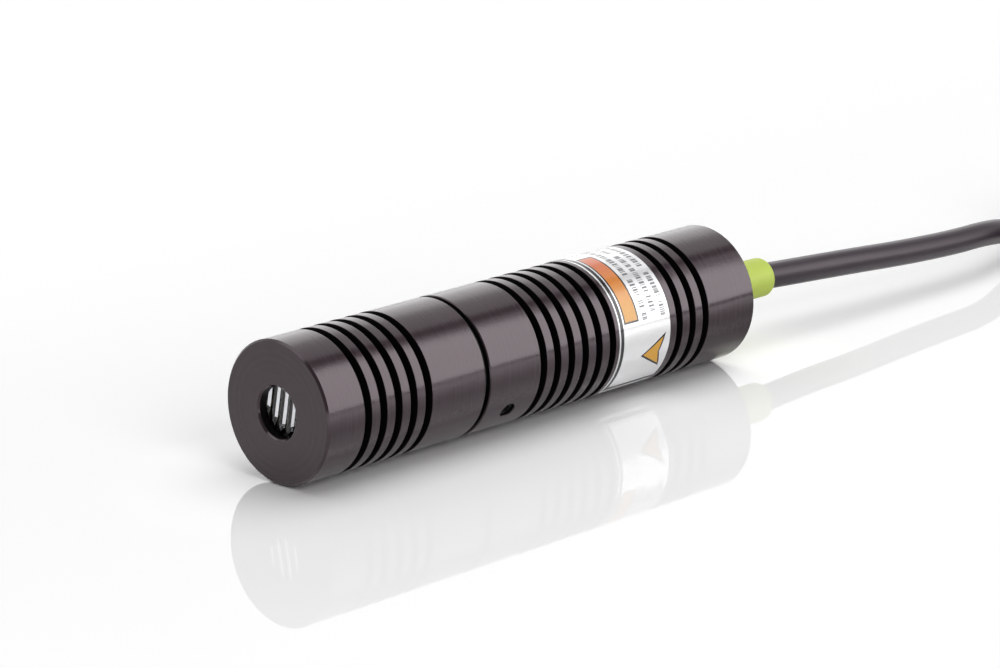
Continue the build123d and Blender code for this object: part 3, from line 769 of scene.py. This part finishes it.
# %% A finish from its colour, roughness and bump
GRAIN_IN_ROUGH = 0.16
BANDS_IN_ROUGH = 1.0
BANDS_IN_COLOUR = 0.6
BANDS_IN_BUMP = 1.5


def tone(colour, by):
    """The same colour, lighter or darker."""
    return (*[min(1.0, c * by) for c in colour[:3]], 1.0)


def finish(slot, colour, rough, metal=0.0, drift=0.12, size=4.0, bump=0.15, ringed=0.0,
           depth=0.004, **plain):
    """A material for one slot. ringed is the share of lathe rings in the bump, depth is in mm."""
    made = bpy.data.materials.new(slot)
    made.use_nodes = True
    tree = made.node_tree
    shader = tree.nodes["Principled BSDF"]
    cloud, grain = use(tree, clouds, Size=size)[:2]
    drifting = cloud
    height = grain
    roughness = reckon(
        tree, "MULTIPLY_ADD", grain, GRAIN_IN_ROUGH * rough, (1 - GRAIN_IN_ROUGH / 2) * rough
    )
    if ringed:
        ring, band = use(tree, lathe, Pitch=LATHE_PITCH)[:2]
        drifting = mix(tree, BANDS_IN_COLOUR, cloud, band)
        marks = reckon(tree, "ADD", ring, product(tree, band, BANDS_IN_BUMP))
        height = mix(tree, ringed, grain, marks)
        lower = reckon(tree, "SUBTRACT", roughness, BANDS_IN_ROUGH / 2 * rough)
        roughness = reckon(tree, "MULTIPLY_ADD", band, BANDS_IN_ROUGH * rough, lower)
    base = mix_colour(tree, drifting, tone(colour, 1 - drift), tone(colour, 1 + drift))
    relief = add(tree, "Bump", {"Height": height, "Strength": bump, "Distance": depth * MM})
    join(tree, base, shader.inputs["Base Color"])
    join(tree, roughness, shader.inputs["Roughness"])
    join(tree, relief.outputs[0], shader.inputs["Normal"])
    shader.inputs["Metallic"].default_value = metal
    for key, value in plain.items():
        shader.inputs[key.replace("_", " ")].default_value = value
    return made


# %% [markdown]
# The list gives each slot its look. Two finishes aren't slots of their own, and both are painted
# light: painted shade, a dull black inside the grooves and bores, and painted highlights, a bright
# glowing finish on flanks of the lens.

# %% The list of finishes
FOIL_METAL = 0.28
LOOKS = {
    "black_anodised": dict(
        colour=(0.034, 0.0215, 0.0265), rough=0.15, drift=0.5, bump=1.0, ringed=0.4, depth=0.014,
        Specular_Tint=(1.0, 0.87, 0.93, 1.0),
    ),
    # painted shade: a dull, less shiny black for faces in the grooves, bores and hole
    "groove_black": dict(
        colour=(0.004, 0.003, 0.0035), rough=0.5, bump=0.1, Specular_IOR_Level=0.12
    ),
    "black_steel": dict(colour=(0.02, 0.02, 0.022), rough=0.35, metal=0.4, size=1.0),
    "black_rubber": dict(colour=(0.012, 0.012, 0.012), rough=0.6, size=1.5),
    "brass": dict(
        colour=(0.62, 0.42, 0.16), rough=0.28, metal=1.0, drift=0.08, ringed=0.7, bump=0.3
    ),
    "spring_steel": dict(colour=(0.55, 0.54, 0.52), rough=0.25, metal=1.0, size=1.0),
    "gold_can": dict(colour=(0.83, 0.6, 0.22), rough=0.2, metal=1.0, drift=0.05, size=2.0),
    "lead_metal": dict(colour=(0.66, 0.65, 0.62), rough=0.25, metal=1.0, size=0.8),
    "insulating_film": dict(colour=(0.42, 0.26, 0.07), rough=0.35, drift=0.1, size=6.0),
    "circuit_board": dict(colour=(0.02, 0.12, 0.05), rough=0.3, drift=0.35, size=1.6),
    "chip_black": dict(colour=(0.02, 0.02, 0.021), rough=0.55, size=0.6, bump=0.3),
    "trimmer_blue": dict(colour=(0.02, 0.08, 0.36), rough=0.4, size=1.2),
    "trimmer_metal": dict(colour=(0.7, 0.68, 0.62), rough=0.3, metal=1.0, size=0.8),
    "tantalum_yellow": dict(colour=(0.62, 0.36, 0.05), rough=0.45, size=1.0),
    "ceramic_tan": dict(colour=(0.42, 0.3, 0.18), rough=0.5, size=0.8),
    "wire_red": dict(colour=(0.5, 0.02, 0.02), rough=0.35, size=2.0, bump=0.1),
    "wire_black": dict(colour=(0.02, 0.02, 0.02), rough=0.35, size=2.0, bump=0.1),
    "cable_jacket": dict(
        colour=(0.024, 0.017, 0.022), rough=0.36, size=2.5, bump=0.3, depth=0.008,
        Specular_IOR_Level=0.4, Specular_Tint=(1.0, 0.86, 0.95, 1.0),
    ),
    "green_sleeve": dict(
        colour=(0.55, 0.68, 0.1), rough=0.5, drift=0.06, size=3.0, bump=0.25, depth=0.01,
        Subsurface_Weight=0.15, Subsurface_Radius=(0.6, 1.0, 0.3), Subsurface_Scale=0.001,
    ),
    "tie_nylon": dict(colour=(0.022, 0.022, 0.022), rough=0.42, size=1.2),
    "ferrule_metal": dict(colour=(0.74, 0.73, 0.7), rough=0.22, metal=1.0, size=1.0),
    "foil_label": dict(
        colour=(0.93, 0.93, 0.94), rough=0.15, metal=FOIL_METAL, drift=0.03, size=5.0, bump=0.1
    ),
    # painted highlight: a bright, glowing finish for the stripes of light on the lens's flanks
    "bright_flank": dict(
        colour=(0.86, 0.86, 0.88), rough=0.25, drift=0.3, size=0.5, bump=0.3,
        Emission_Color=(0.95, 0.97, 1.0, 1.0), Emission_Strength=0.35,
    ),
    "clear_optic": dict(
        colour=(1.0, 1.0, 1.0), rough=0.02, drift=0.0, bump=0.0, Transmission_Weight=1.0, IOR=1.52
    ),
}
finishes = {slot: finish(slot, **look) for slot, look in LOOKS.items()}
print(len(finishes), "finishes")

# %% [markdown]
# ## Print
# The print on the foil is laid out in millimetres: along the wrap, upwards from the side of the
# barrel, and across it, from the front edge backwards. A picture could be mapped on it, but fields
# worked out from these two lengths stay sharp at any distance. Each is a rectangle, or an area
# under slanted lines, with a soft edge of a few hundredths of a millimetre.

# %% Fields of the print
FIELD_INPUTS = {"Along": 0.0, "Across": 0.0, "From": 0.0, "To": 1.0, "Low": 0.0, "High": 1.0}
box_field, given, out = group("print_field", FIELD_INPUTS, ["Mask"])


def ramp_up(tree, value, edge, width=0.06):
    """0 below the edge, 1 above it, with a straight slope of this width between."""
    above = reckon(tree, "SUBTRACT", value, reckon(tree, "SUBTRACT", edge, width / 2))
    return reckon(tree, "DIVIDE", above, width, clamp=True)


inside_field = product(
    box_field,
    ramp_up(box_field, given["Along"], given["From"]),
    ramp_up(box_field, given["To"], given["Along"]),
    ramp_up(box_field, given["Across"], given["Low"]),
    ramp_up(box_field, given["High"], given["Across"]),
)
join(box_field, inside_field, out.inputs["Mask"])

tree = finishes["foil_label"].node_tree
foil = tree.nodes["Principled BSDF"]
flat = add(tree, "UVMap", uv_map="print_mm").outputs[0]
along_wrap, across_wrap = add(tree, "SeparateXYZ", {0: flat}).outputs[:2]


def field(start, end, low, high, inset=0.0):
    """The mask of one printed rectangle, in millimetres on the label, drawn in by inset."""
    return use(
        tree, box_field, Along=along_wrap, Across=across_wrap,
        From=start + inset, To=end - inset, Low=low + inset, High=high - inset,
    )[0]


def either(first, *others):
    """The area of any of the masks."""
    for other in others:
        first = reckon(tree, "MAXIMUM", first, other)
    return first


def without(first, second):
    """The area of the first mask that the second leaves free."""
    return product(tree, first, reckon(tree, "SUBTRACT", 1.0, second))


# %% [markdown]
# A dark frame line runs along the front and lower edges. It is what lies between two rectangles
# that both reach past the label. Inside it is a band that goes from amber to red, with an outline.

# %% Frame line and band
LINE = 0.28
AMBER = (0.85, 0.42, 0.08, 1.0)
RED = (0.75, 0.17, 0.05, 1.0)
PAST_LABEL = (40.0, 12.0)
FRAME_CORNER = (-8.85, 0.24)
FRAME_INNER_CORNER = (-8.15, 0.9)
BAND = (2.4, 15.4, 1.15, 4.2)
BAND_AMBER_TO = 4.0
BAND_FADES_OVER = 9.0
outer, inner = (
    field(corner[0], PAST_LABEL[0], corner[1], PAST_LABEL[1])
    for corner in (FRAME_CORNER, FRAME_INNER_CORNER)
)
frame_line = without(outer, inner)
band_outside = field(*BAND)
band_inside = field(*BAND, inset=LINE)
into_band = reckon(tree, "SUBTRACT", along_wrap, BAND_AMBER_TO)
amber_to_red = reckon(tree, "DIVIDE", into_band, BAND_FADES_OVER, clamp=True)
band_colour = mix_colour(tree, amber_to_red, AMBER, RED)

# %% [markdown]
# A yellow arrow points along the beam. It is the area where the distance from its middle line stays
# below a share of the distance from its tip, less a notch whose edge slants the same on both sides.

# %% Arrow
ARROW_TIP = (-2.95, 4.8)
ARROW_LEN = 4.8
ARROW_HALF = 2.75
ARROW_MITRE = 1.15
NOTCH_DEPTH = 0.95
NOTCH_SLOPE = 0.36
from_tip = reckon(tree, "SUBTRACT", across_wrap, ARROW_TIP[1])
aside = reckon(tree, "ABSOLUTE", reckon(tree, "SUBTRACT", along_wrap, ARROW_TIP[0]))
slope = ARROW_HALF / ARROW_LEN


def arrow(inset):
    """A triangle with a notch cut from its base, drawn in by inset on every side."""
    from_inner_tip = reckon(tree, "SUBTRACT", from_tip, inset / slope * ARROW_MITRE)
    reach = product(tree, from_inner_tip, slope)
    notch = reckon(tree, "MULTIPLY_ADD", aside, NOTCH_SLOPE, ARROW_LEN - NOTCH_DEPTH - inset)
    return product(tree, ramp_up(tree, reach, aside), ramp_up(tree, notch, from_tip))


# %% [markdown]
# Each row of small print is one rectangle. Slow noise along it cuts it into words, and quicker noise
# cuts those into strokes. Each row looks at another stretch of the same noise.

# %% Rows of strokes
ROWS = ((4.95, 0.0), (6.85, 40.0), (8.75, 80.0))
ROW_HEIGHT = 1.05
ROW_FROM = 2.3
ROW_TO = 24.0
# scale of the noise, the level above which there is ink, and the softness of that step
WORDS = (0.62, 0.34, 0.05)
STROKES = (3.6, 0.46, 0.16)


def row_of_strokes(low, offset):
    """The mask of the row that starts low across the label."""
    along = reckon(tree, "ADD", along_wrap, offset)
    words = ramp_up(tree, noise_along(tree, along, WORDS[0]), *WORDS[1:])
    strokes = ramp_up(tree, noise_along(tree, along, STROKES[0]), *STROKES[1:])
    return product(tree, field(ROW_FROM, ROW_TO, low, low + ROW_HEIGHT), words, strokes)


small_print = either(*[row_of_strokes(low, offset) for low, offset in ROWS])

# %% [markdown]
# The colours are printed over each other in this order, on the foil's own colour. Dark ink isn't
# metal, so the foil's metal share drops to nothing under it.

# %% All layers of the print
INK = (0.015, 0.015, 0.02, 1.0)
YELLOW = (0.8, 0.4, 0.03, 1.0)
GREY = (0.2, 0.2, 0.21, 1.0)
arrow_outside = arrow(0.0)
layers = [
    (frame_line, INK), (band_outside, INK), (band_inside, band_colour),
    (arrow_outside, INK), (arrow(LINE), YELLOW), (small_print, GREY),
]
colour_out = foil.inputs["Base Color"].links[0].from_socket
for mask, colour in layers:
    colour_out = mix_colour(tree, mask, colour_out, colour)
any_ink = either(frame_line, band_outside, arrow_outside, small_print)
bare_foil = reckon(tree, "MULTIPLY_ADD", any_ink, -FOIL_METAL, FOIL_METAL)
join(tree, colour_out, foil.inputs["Base Color"])
join(tree, bare_foil, foil.inputs["Metallic"])
print(len(layers), "layers of print,", len(tree.nodes), "nodes")

# %% [markdown]
# Each piece takes the finish of its slot, and so do the solids that stay visible. The faces below
# the barrel's surface, in the grooves, the bores and the grub screw's hole, get painted shade, a
# dull black, and the lens gets painted highlights on its flanks.

# %% Every piece gets its finish
GROOVE_LIP = 0.12
END_MARGIN = 0.5


def second_finish(made, name, faces):
    """Gives some faces of a piece a second finish."""
    made.data.materials.append(finishes[name])
    made.data.polygons.foreach_set("material_index", faces.astype(np.int32))


shown = [o for o in bpy.data.objects if o.type in ("MESH", "CURVE")]
for one in shown:
    named = one.get("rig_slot") or slot_of.get(one.name)
    if named is None:
        continue
    if not one.data.materials:
        one.data.materials.append(finishes[named])
    for holder in one.material_slots:
        holder.material = finishes[named]
# painted highlights on the lens's flanks
second_finish(line_lens, "bright_flank", highlight_faces)
# painted shade on faces below the barrel's surface: grooves, bores and the grub screw's hole
for turned in (head, body):
    face_middle = np.zeros(3 * len(turned.data.polygons))
    turned.data.polygons.foreach_get("center", face_middle)
    x, y, z = face_middle.reshape(-1, 3).T / MM
    sunk = np.hypot(x, z) < BARREL_R - GROOVE_LIP
    grooved = (y > END_MARGIN) & (y < BARREL_END - END_MARGIN)
    second_finish(turned, "groove_black", sunk & grooved)
print(sum(bool(one.data.materials) for one in shown), "pieces dressed")

# %% [markdown]
# ## Table and light
# The module lies on a white glossy table in a light tent. The barrel mirrors the table. Flags and
# cards could shade it, but here its colour does so, for mirror-like rays alone: it is brighter just
# below the barrel, before the front face and far to the right, and darker behind the rear end and
# in a strip further back. Each place is a fade: from, to, low and high, in metres and shares.

# %% Table, and its white for each kind of ray
TABLE_Z = -10.0
TABLE_HALF = 6000.0
RIGHT_SIDE = (-0.02, 0.0, 0.0, 1.0)
FAR_STRIP = (0.2, 0.21, 0.0, 0.96)
BESIDE_BARREL = (0.006, 0.0135, 1.75, 0.48)
BEHIND_END = (0.074, 0.092, 0.0, 0.58)
BEFORE_LEAD = (0.105, 0.125, 1.0, 0.0)
FURTHER_OUT = (0.024, 0.07, 0.0, 1.7)
IN_FRONT = (-0.004, 0.0, 1.0, 0.0)
FRONT_WHITE = 1.45
MATTE_WHITE = 0.8
CAMERA_WHITE = (1.2, 1.2, 1.2, 1.0)

table_mesh = bpy.data.meshes.new("table")
table_corners = [(-1, -1), (1, -1), (1, 1), (-1, 1)]
table_mesh.from_pydata(
    [(x * TABLE_HALF * MM, y * TABLE_HALF * MM, TABLE_Z * MM) for x, y in table_corners],
    [], [(0, 1, 2, 3)],
)
table = bpy.data.objects.new("table", table_mesh)
bpy.context.scene.collection.objects.link(table)
white_table = bpy.data.materials.new("white_table")
tree = bare_tree(white_table)
ray = add(tree, "LightPath").outputs
x, y = add(tree, "SeparateXYZ", {0: add(tree, "TexCoord").outputs["Object"]}).outputs[:2]
on_right = fade(tree, x, *RIGHT_SIDE)
strip = product(tree, fade(tree, y, *FAR_STRIP), on_right)
shaded = product(tree, fade(tree, y, *BEHIND_END), fade(tree, y, *BEFORE_LEAD), on_right)
unshaded = reckon(tree, "SUBTRACT", 1.0, shaded)
beside_white = product(tree, unshaded, fade(tree, x, *BESIDE_BARREL))
near_white = mix(tree, fade(tree, y, *IN_FRONT), beside_white, FRONT_WHITE)
glossy_white = product(
    tree,
    reckon(tree, "SUBTRACT", 1.0, strip),
    reckon(tree, "ADD", near_white, fade(tree, x, *FURTHER_OUT)),
)
ray_white = mix(tree, ray["Is Glossy Ray"], MATTE_WHITE, glossy_white)
white = mix_colour(tree, ray["Is Camera Ray"], ray_white, CAMERA_WHITE)
print("white of the table:", len(tree.nodes), "nodes")

# %% [markdown]
# The table is matte white with a weak mirror on top, which fades with the distance from the barrel.
# Further off, the camera sees it as plain white, so no edge or unevenness of it shows.

# %% Mirror and plain white of the table
WHITE = (1.0, 1.0, 1.0, 1.0)
MIRROR_SHARE = (0.008, 0.024, 0.19, 0.1)
FAR_OFF = (0.03, 0.12, 0.0, 1.0)
HALF_BARREL = BARREL_END * MM / 2
HALF_MODULE = 0.126
matte = add(tree, "BsdfDiffuse", {"Color": white}).outputs[0]
mirror = add(tree, "BsdfGlossy", {"Color": WHITE, "Roughness": 0.0}).outputs[0]
from_barrel = distance(tree, x, beyond(tree, y, HALF_BARREL, HALF_BARREL))
mirror_share = fade(tree, from_barrel, *MIRROR_SHARE)
near = add(tree, "MixShader", {0: mirror_share, 1: matte, 2: mirror}).outputs[0]
from_module = distance(tree, x, beyond(tree, y, HALF_MODULE, HALF_MODULE))
far_off = fade(tree, from_module, *FAR_OFF, interpolation_type="SMOOTHSTEP")
far_white = add(tree, "Emission", {"Color": WHITE, "Strength": 1.0}).outputs[0]
shown_white = product(tree, far_off, ray["Is Camera Ray"])
whole = add(tree, "MixShader", {0: shown_white, 1: near, 2: far_white}).outputs[0]
add(tree, "OutputMaterial", {"Surface": whole})
table_mesh.materials.append(white_table)
print("table's material:", len(tree.nodes), "nodes")

# %% [markdown]
# The tent is the world, since a real one would have to let the lamps through. The camera sees it as
# plain white, and it lights matte surfaces softly. For mirror-like rays it has a dim seam overhead,
# which leaves a dark streak high on the barrel, and a dim opening where the camera stands.

# %% Tent
TENT_LEVEL = 0.22
SEAM_AT = 0.13
SEAM = (0.09, 0.15, 0.2, 1.0)
LOWEST_RISE = 0.05
OPENING_TOWARD = (
    math.sin(CAMERA_TURN) * math.cos(CAMERA_TILT),
    -math.cos(CAMERA_TURN) * math.cos(CAMERA_TILT),
    math.sin(CAMERA_TILT),
)
OPENING = (0.55, 0.8, 1.0, 0.15)

world = bpy.data.worlds.new("tent")
tree = bare_tree(world)
ray = add(tree, "LightPath").outputs
mirror_like = reckon(tree, "MAXIMUM", ray["Is Camera Ray"], ray["Is Glossy Ray"])
seen = reckon(tree, "MAXIMUM", mirror_like, ray["Is Transmission Ray"])
toward = add(tree, "TexCoord").outputs["Generated"]
part = add(tree, "SeparateXYZ", {0: toward}).outputs
lean = reckon(tree, "DIVIDE", part[0], reckon(tree, "MAXIMUM", part[2], LOWEST_RISE))
from_seam = reckon(tree, "ABSOLUTE", reckon(tree, "SUBTRACT", lean, SEAM_AT))
seam = fade(tree, from_seam, *SEAM)
to_opening = {0: toward, 1: OPENING_TOWARD}
facing = add(tree, "VectorMath", to_opening, operation="DOT_PRODUCT").outputs[1]
mirrored = product(tree, seam, fade(tree, facing, *OPENING))
plain = mix(tree, ray["Is Glossy Ray"], 1.0, mirrored)
level = mix(tree, seen, TENT_LEVEL, plain)
sky = add(tree, "Background", {"Color": WHITE, "Strength": level}).outputs[0]
add(tree, "OutputWorld", {"Surface": sky})
bpy.context.scene.world = world
print("tent:", TENT_LEVEL, "for matte surfaces")

# %% [markdown]
# Three of the lamps are only for mirror-like rays: the one at the back right gives the long bright
# band on the barrel, and the other two fill in its top. The wide lamp overhead and the one on the
# right light the matte surfaces, and give the soft shadows that lie straight below the barrel and
# the lead.

# %% Lamps
def softbox(name, centre, toward, size, radiance, diffuse=True, glossy=True):
    """A soft lamp of this size at centre, in metres, which faces the point toward.

    An area lamp has the given radiance on its face when its power is pi * area * radiance.
    """
    lamp = bpy.data.lights.new(name, "AREA")
    lamp.shape = "RECTANGLE"
    lamp.size, lamp.size_y = size
    lamp.energy = math.pi * size[0] * size[1] * radiance
    made = bpy.data.objects.new(name, lamp)
    made.location = centre
    away = np.subtract(centre, toward)
    turn = math.atan2(away[1], away[0])
    rise = math.atan2(away[2], math.hypot(away[0], away[1]))
    made.rotation_euler = (math.pi / 2 - rise, 0.0, turn + math.pi / 2)
    made.visible_camera = False
    made.visible_diffuse = diffuse
    made.visible_glossy = glossy
    bpy.context.scene.collection.objects.link(made)


softbox(
    "lamp_back_right", centre=(0.3395, 0.357, 0.2245), toward=(0.3395, 0.0, 0.2245),
    size=(0.381, 0.453), radiance=3.0, diffuse=False,
)
softbox(
    "lamp_back_left", centre=(-1.58, 1.68, 0.78), toward=(0.0, 0.045, 0.0),
    size=(1.6, 1.4), radiance=0.75, diffuse=False,
)
softbox(
    "lamp_front", centre=(-0.32, -0.42, 1.06), toward=(0.0, 0.045, 0.0),
    size=(0.9, 0.9), radiance=1.2, diffuse=False,
)
softbox(
    "lamp_overhead", centre=(0.1, 0.35, 1.0), toward=(0.0, 0.05, 0.0),
    size=(1.15, 1.1), radiance=1.62, glossy=False,
)
softbox(
    "lamp_right_fill", centre=(0.9, -0.2, 0.5), toward=(0.0, 0.05, 0.0),
    size=(0.6, 0.6), radiance=3.0, glossy=False,
)
bpy.context.scene.view_settings.view_transform = "Standard"
print(len(bpy.data.lights), "lamps")
